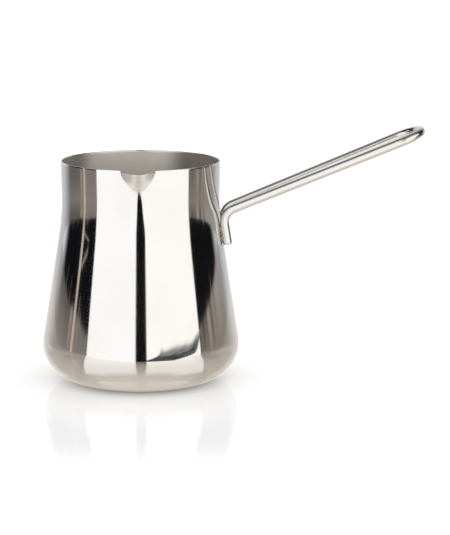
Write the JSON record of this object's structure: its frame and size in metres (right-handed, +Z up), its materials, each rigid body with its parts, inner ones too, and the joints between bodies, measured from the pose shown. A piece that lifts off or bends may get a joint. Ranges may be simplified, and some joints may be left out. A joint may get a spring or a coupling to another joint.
{
  "type": "coffee pot",
  "caption": "Stainless steel stovetop coffee pot: conical drawn body with a narrow neck and a pressed pouring lip, and a hairpin rod handle welded to the wall a quarter turn from the lip.",
  "frame": {"origin": "centre of the flat base, on the pot's axis, at the surface it stands on", "axes": "+Z up along the pot's axis, +X towards the handle, -Y towards the pouring lip, which sits 1.3 degrees further from the handle"},
  "size_m": [0.2146, 0.1108, 0.1433],
  "materials": {
    "pot_steel": "mirror-polished stainless steel outside, satin inside",
    "handle_steel": "polished stainless steel rod",
    "weld_steel": "heat-tinted spot weld"
  },
  "bodies": {
    "root": {"pot_body": "pot_steel", "handle_rod": "handle_steel", "weld_near_upper": "weld_steel", "weld_near_lower": "weld_steel", "weld_far_upper": "weld_steel", "weld_far_lower": "weld_steel"}
  },
  "joints": []
}
